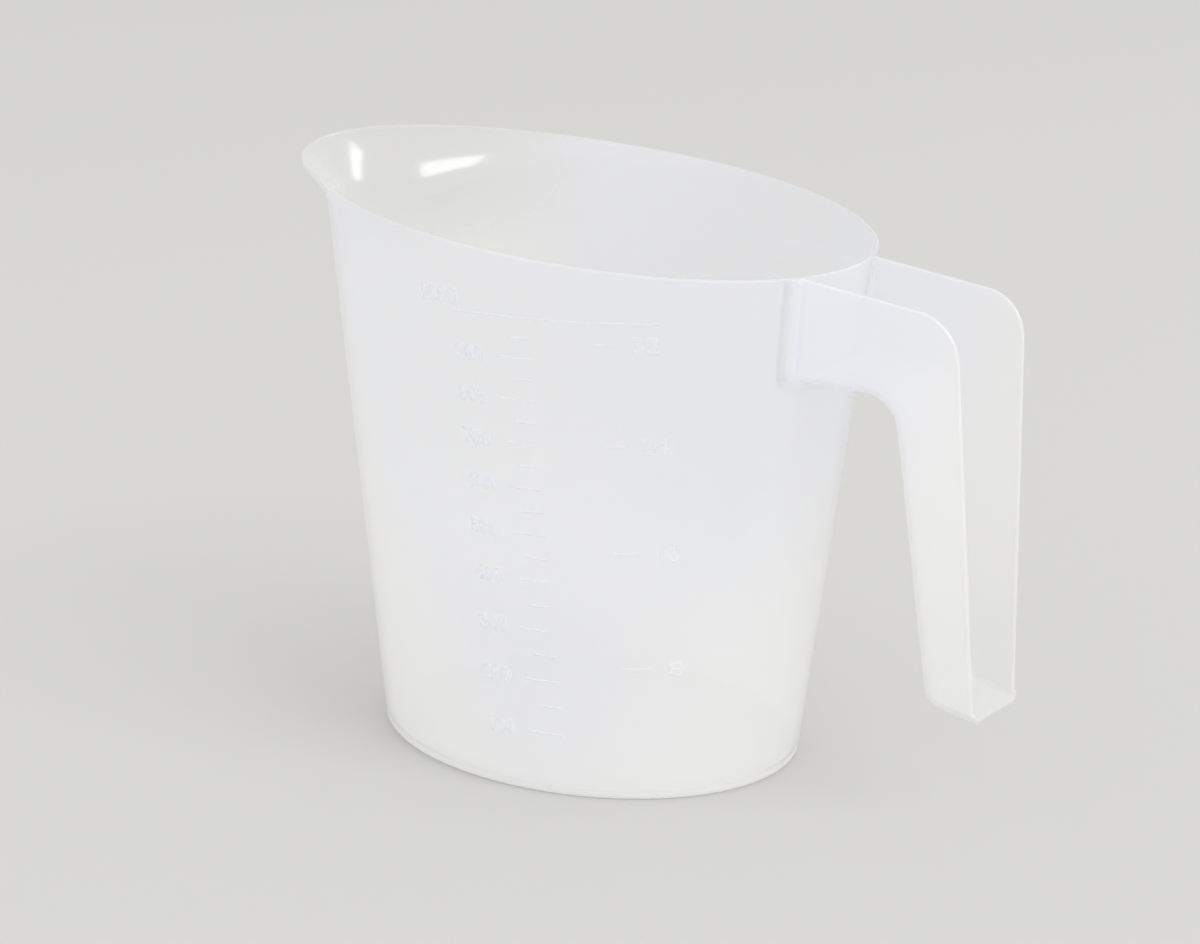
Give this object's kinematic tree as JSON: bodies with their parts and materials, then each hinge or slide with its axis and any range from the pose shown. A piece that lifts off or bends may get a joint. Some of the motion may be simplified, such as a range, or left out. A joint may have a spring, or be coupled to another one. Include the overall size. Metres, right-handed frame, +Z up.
{
  "type": "plastic water pitcher",
  "caption": "Oval tapered translucent plastic pitcher with a sloping rim, a flared pouring lip and an open hook handle of channel section.",
  "frame": {"origin": "middle of the flat oval underside, on the table plane", "axes": "+Z up; +X from the pouring lip to the handle, along the oval's long axis; +Y across, towards the side away from the viewer"},
  "size_m": [0.1866, 0.1125, 0.1389],
  "materials": {
    "polypropylene": "natural milky translucent polypropylene, smooth satin moulding"
  },
  "bodies": {
    "root": {"pitcher": "polypropylene"}
  },
  "joints": []
}
